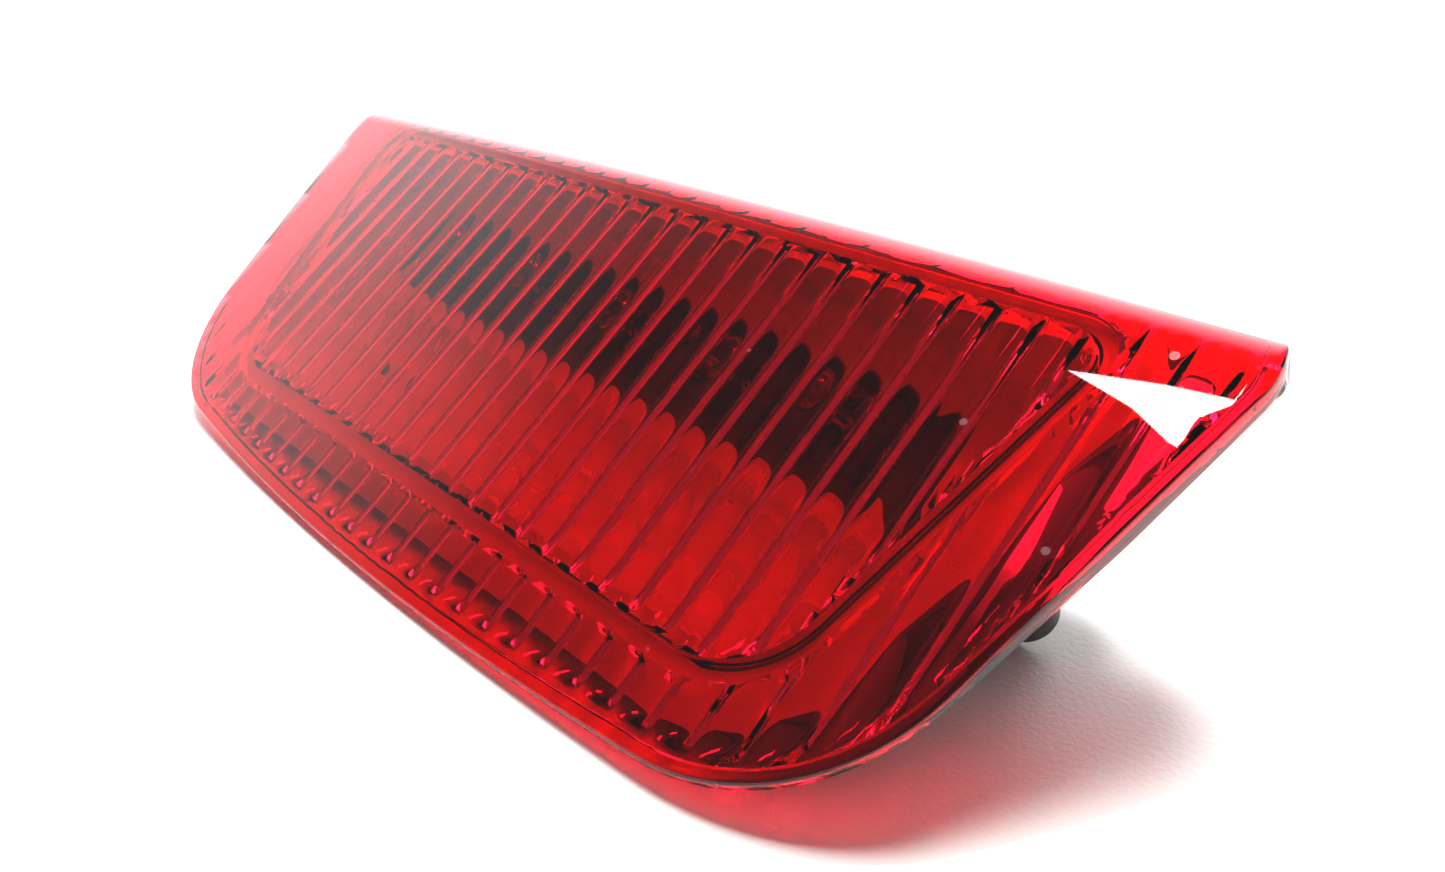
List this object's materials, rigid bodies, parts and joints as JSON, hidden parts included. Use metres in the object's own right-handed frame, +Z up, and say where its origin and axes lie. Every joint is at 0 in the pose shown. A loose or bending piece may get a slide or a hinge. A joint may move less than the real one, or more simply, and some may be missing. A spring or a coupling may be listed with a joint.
{
  "type": "third brake light",
  "caption": "Red fluted high-mounted stop lamp: trapezoid lens with a rolled top edge over a bulb chamber, with a pull-off bulb carrier and threaded mounting towers.",
  "frame": {"origin": "middle of the plane the lamp lies on, under the middle of its bounding box", "axes": "+X along the lamp, +Y towards the top edge of the lens, +Z up as the lamp lies face up on its rim and towers; the lens face leans 39.4 degrees from the resting plane"},
  "size_m": [0.2388, 0.099, 0.0602],
  "materials": {
    "lens_red": "clear red moulded acrylic, polished outside, fluted inside",
    "housing_black": "fine-grained black moulding",
    "reflector_metal": "vacuum-metallised plastic",
    "foam": "closed-cell foam",
    "brass": "turned or stamped brass",
    "rubber_black": "soft moulded rubber",
    "carrier_dark": "dark grey-brown moulding",
    "connector_grey": "satin grey moulding",
    "steel": "drawn wire",
    "bulb_glass": "clear blown glass",
    "bulb_wire": "drawn wire"
  },
  "bodies": {
    "lamp": {"lens": "lens_red", "housing": "housing_black", "reflector": "reflector_metal", "body_gasket": "foam", "threaded_inserts": "brass", "vent_cap": "rubber_black"},
    "carrier_unit": {"carrier": "carrier_dark", "carrier_seal": "rubber_black", "contact_strip_live": "brass", "contact_strip_earth": "brass", "connector_shroud": "connector_grey", "terminal_live": "brass", "terminal_earth": "brass", "latch_pins": "steel"},
    "lever_left": {"latch_left": "connector_grey"},
    "lever_right": {"latch_right": "connector_grey"},
    "bulb_1": {"bulb_glass_1": "bulb_glass", "bulb_wires_1": "bulb_wire"},
    "bulb_2": {"bulb_glass_2": "bulb_glass", "bulb_wires_2": "bulb_wire"},
    "bulb_3": {"bulb_glass_3": "bulb_glass", "bulb_wires_3": "bulb_wire"},
    "bulb_4": {"bulb_glass_4": "bulb_glass", "bulb_wires_4": "bulb_wire"},
    "bulb_5": {"bulb_glass_5": "bulb_glass", "bulb_wires_5": "bulb_wire"}
  },
  "joints": [
    {"name": "carrier_pull", "type": "slide", "parent": "lamp", "child": "carrier_unit", "axis": [0, 0.635, -0.7725], "range_m": [0, 0.026]},
    {"name": "latch_left_turn", "type": "hinge", "parent": "carrier_unit", "child": "lever_left", "pos_m": [-0.042, 0.04442, 0.02598], "axis": [1, 0, 0], "range_deg": [0, 16], "stiffness_Nm_per_rad": 0.05},
    {"name": "latch_right_turn", "type": "hinge", "parent": "carrier_unit", "child": "lever_right", "pos_m": [0.042, 0.04442, 0.02598], "axis": [1, 0, 0], "range_deg": [0, 16], "stiffness_Nm_per_rad": 0.05},
    {"name": "bulb_1_pull", "type": "slide", "parent": "carrier_unit", "child": "bulb_1", "axis": [0, -0.635, 0.7725], "range_m": [0, 0.009]},
    {"name": "bulb_2_pull", "type": "slide", "parent": "carrier_unit", "child": "bulb_2", "axis": [0, -0.635, 0.7725], "range_m": [0, 0.009]},
    {"name": "bulb_3_pull", "type": "slide", "parent": "carrier_unit", "child": "bulb_3", "axis": [0, -0.635, 0.7725], "range_m": [0, 0.009]},
    {"name": "bulb_4_pull", "type": "slide", "parent": "carrier_unit", "child": "bulb_4", "axis": [0, -0.635, 0.7725], "range_m": [0, 0.009]},
    {"name": "bulb_5_pull", "type": "slide", "parent": "carrier_unit", "child": "bulb_5", "axis": [0, -0.635, 0.7725], "range_m": [0, 0.009]}
  ]
}
